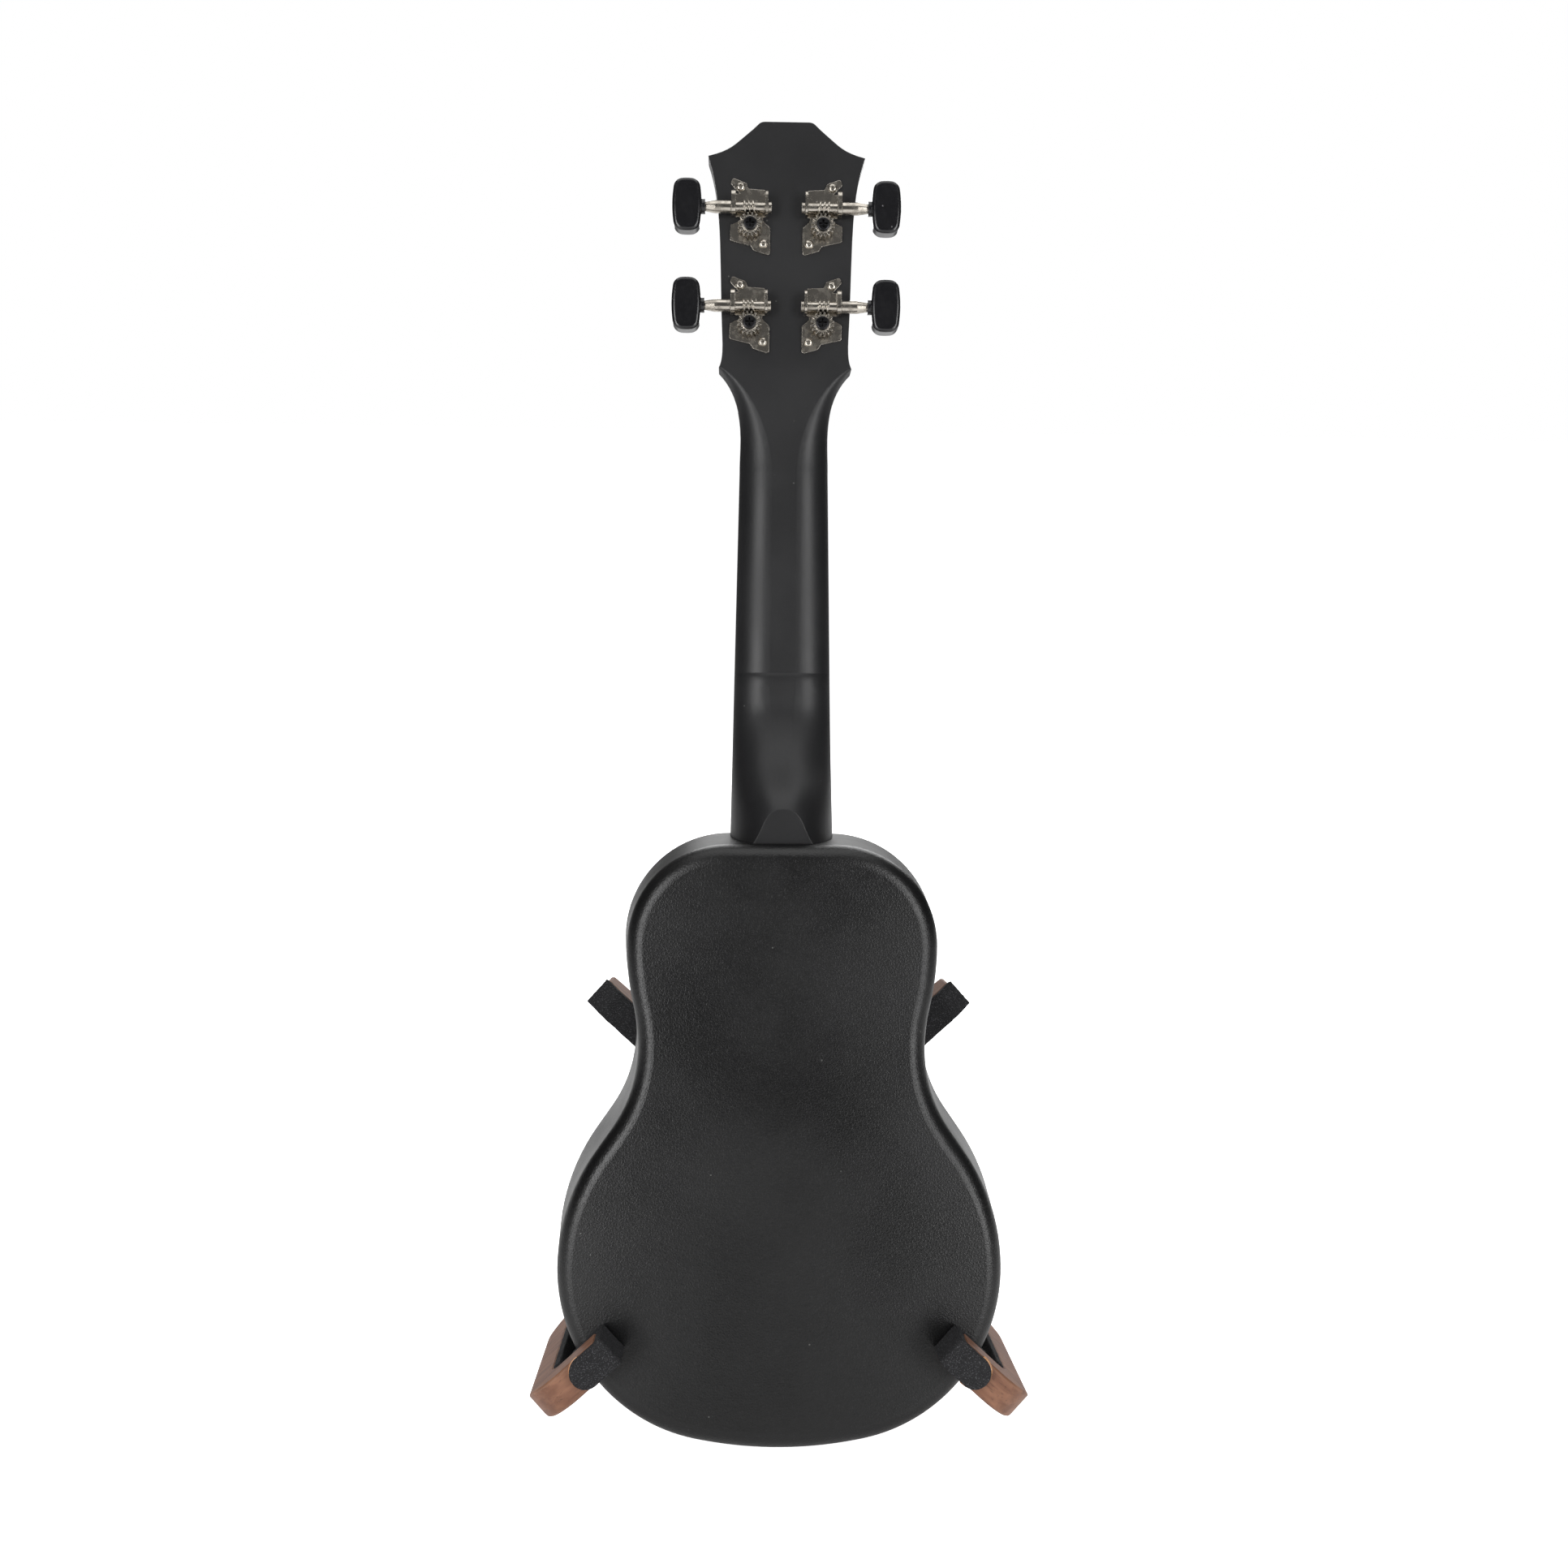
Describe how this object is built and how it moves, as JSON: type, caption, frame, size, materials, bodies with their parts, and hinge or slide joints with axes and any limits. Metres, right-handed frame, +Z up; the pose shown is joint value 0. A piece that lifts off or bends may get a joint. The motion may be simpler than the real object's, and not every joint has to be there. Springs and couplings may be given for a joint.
{
  "type": "ukulele on a wooden display stand",
  "caption": "Small four-string ukulele with a moulded body and geared tuners, resting back to front on a folding X-shaped wooden easel stand with foam pads.",
  "frame": {"origin": "on the floor, under the middle of the whole object's bounding box", "axes": "+Z up, +X to the right of a viewer who faces the ukulele's back, +Y away from that viewer"},
  "size_m": [0.191, 0.229, 0.525],
  "materials": {
    "body_plastic": "fine leather grain, satin black",
    "inner_wood": "raw",
    "neck_plastic": "smooth satin black",
    "board_plastic": "satin black",
    "bone": "polished",
    "fret_metal": "polished",
    "dot_inlay": "pearly",
    "nylon": "clear nylon",
    "screw_steel": "zinc",
    "nickel": "worn nickel plate",
    "black_steel": "black oxide",
    "button_plastic": "polished black",
    "stand_wood": "red brown stain, satin",
    "foam": "closed-cell foam",
    "stand_steel": "black",
    "knob_plastic": "moulded",
    "rubber_black": "matt"
  },
  "bodies": {
    "stand": {"cradle_arm_left_hook": "stand_wood", "cradle_arm_right_hook": "stand_wood", "upper_pads": "foam", "hook_pad_left": "foam", "hook_pad_right": "foam", "throat_pads": "foam", "hub_bolt": "stand_steel", "hub_washer": "stand_steel", "cradle_screws": "screw_steel", "spine": "stand_wood", "base_block": "stand_wood", "base_plate": "stand_steel", "base_screws": "screw_steel", "rubber_mat_front": "rubber_black", "hinge_bracket": "stand_steel", "hinge_screws": "screw_steel", "hinge_pin": "stand_steel"},
    "ukulele": {"body_shell": "body_plastic", "soundboard": "body_plastic", "neck_block": "inner_wood", "tail_block": "inner_wood", "soundboard_braces": "inner_wood", "bridge_plate": "inner_wood", "bridge": "board_plastic", "saddle": "bone", "neck": "neck_plastic", "neck_screws": "screw_steel", "fretboard": "board_plastic", "frets": "fret_metal", "fret_dots": "dot_inlay", "nut": "bone", "string_g": "nylon", "string_c": "nylon", "string_e": "nylon", "string_a": "nylon", "tuner_plates": "nickel", "tuner_screws": "nickel", "post_bushings": "nickel"},
    "hub_knob": {"hub_knob": "knob_plastic"},
    "rear_leg": {"rear_leg_left": "stand_wood", "rear_leg_right": "stand_wood", "rear_bar": "stand_wood", "rear_leg_screws": "screw_steel", "rubber_feet_rear": "rubber_black"},
    "tuner_lower_left": {"worm_shaft_lower_left": "nickel", "tuner_button_lower_left": "button_plastic"},
    "post_lower_left": {"post_gear_lower_left": "nickel", "gear_screw_lower_left": "black_steel"},
    "tuner_lower_right": {"worm_shaft_lower_right": "nickel", "tuner_button_lower_right": "button_plastic"},
    "post_lower_right": {"post_gear_lower_right": "nickel", "gear_screw_lower_right": "black_steel"},
    "tuner_upper_left": {"worm_shaft_upper_left": "nickel", "tuner_button_upper_left": "button_plastic"},
    "post_upper_left": {"post_gear_upper_left": "nickel", "gear_screw_upper_left": "black_steel"},
    "tuner_upper_right": {"worm_shaft_upper_right": "nickel", "tuner_button_upper_right": "button_plastic"},
    "post_upper_right": {"post_gear_upper_right": "nickel", "gear_screw_upper_right": "black_steel"}
  },
  "joints": [
    {"name": "lift_off", "type": "slide", "parent": "stand", "child": "ukulele", "axis": [0, 0.2079, 0.9781], "range_m": [0, 0.2]},
    {"name": "rear_leg_fold", "type": "hinge", "parent": "stand", "child": "rear_leg", "pos_m": [0, 0.03567, 0.14275], "axis": [-1, 0, 0], "range_deg": [0, 24]},
    {"name": "hub_knob_turn", "type": "hinge", "parent": "stand", "child": "hub_knob", "pos_m": [0, 0.02527, 0.09619], "axis": [0, 0.9781, -0.2079], "continuous": true},
    {"name": "tuner_lower_left_turn", "type": "hinge", "parent": "ukulele", "child": "tuner_lower_left", "pos_m": [-0.025, 0.02221, 0.4517], "axis": [1, 0, 0], "continuous": true},
    {"name": "post_lower_left_turn", "type": "hinge", "parent": "ukulele", "child": "post_lower_left", "pos_m": [-0.0147, 0.02748, 0.44332], "axis": [0, 0.9781, -0.2079], "continuous": true},
    {"name": "tuner_lower_right_turn", "type": "hinge", "parent": "ukulele", "child": "tuner_lower_right", "pos_m": [0.025, 0.02221, 0.4517], "axis": [1, 0, 0], "continuous": true},
    {"name": "post_lower_right_turn", "type": "hinge", "parent": "ukulele", "child": "post_lower_right", "pos_m": [0.0147, 0.02748, 0.44332], "axis": [0, 0.9781, -0.2079], "continuous": true},
    {"name": "tuner_upper_left_turn", "type": "hinge", "parent": "ukulele", "child": "tuner_upper_left", "pos_m": [-0.025, 0.03047, 0.49053], "axis": [1, 0, 0], "continuous": true},
    {"name": "post_upper_left_turn", "type": "hinge", "parent": "ukulele", "child": "post_upper_left", "pos_m": [-0.0147, 0.03574, 0.48215], "axis": [0, 0.9781, -0.2079], "continuous": true},
    {"name": "tuner_upper_right_turn", "type": "hinge", "parent": "ukulele", "child": "tuner_upper_right", "pos_m": [0.025, 0.03047, 0.49053], "axis": [1, 0, 0], "continuous": true},
    {"name": "post_upper_right_turn", "type": "hinge", "parent": "ukulele", "child": "post_upper_right", "pos_m": [0.0147, 0.03574, 0.48215], "axis": [0, 0.9781, -0.2079], "continuous": true}
  ],
  "couplings": [
    {"joint": "post_lower_left_turn", "follows": "tuner_lower_left_turn", "ratio": -0.0625},
    {"joint": "post_lower_right_turn", "follows": "tuner_lower_right_turn", "ratio": 0.0625},
    {"joint": "post_upper_left_turn", "follows": "tuner_upper_left_turn", "ratio": -0.0625},
    {"joint": "post_upper_right_turn", "follows": "tuner_upper_right_turn", "ratio": 0.0625}
  ]
}
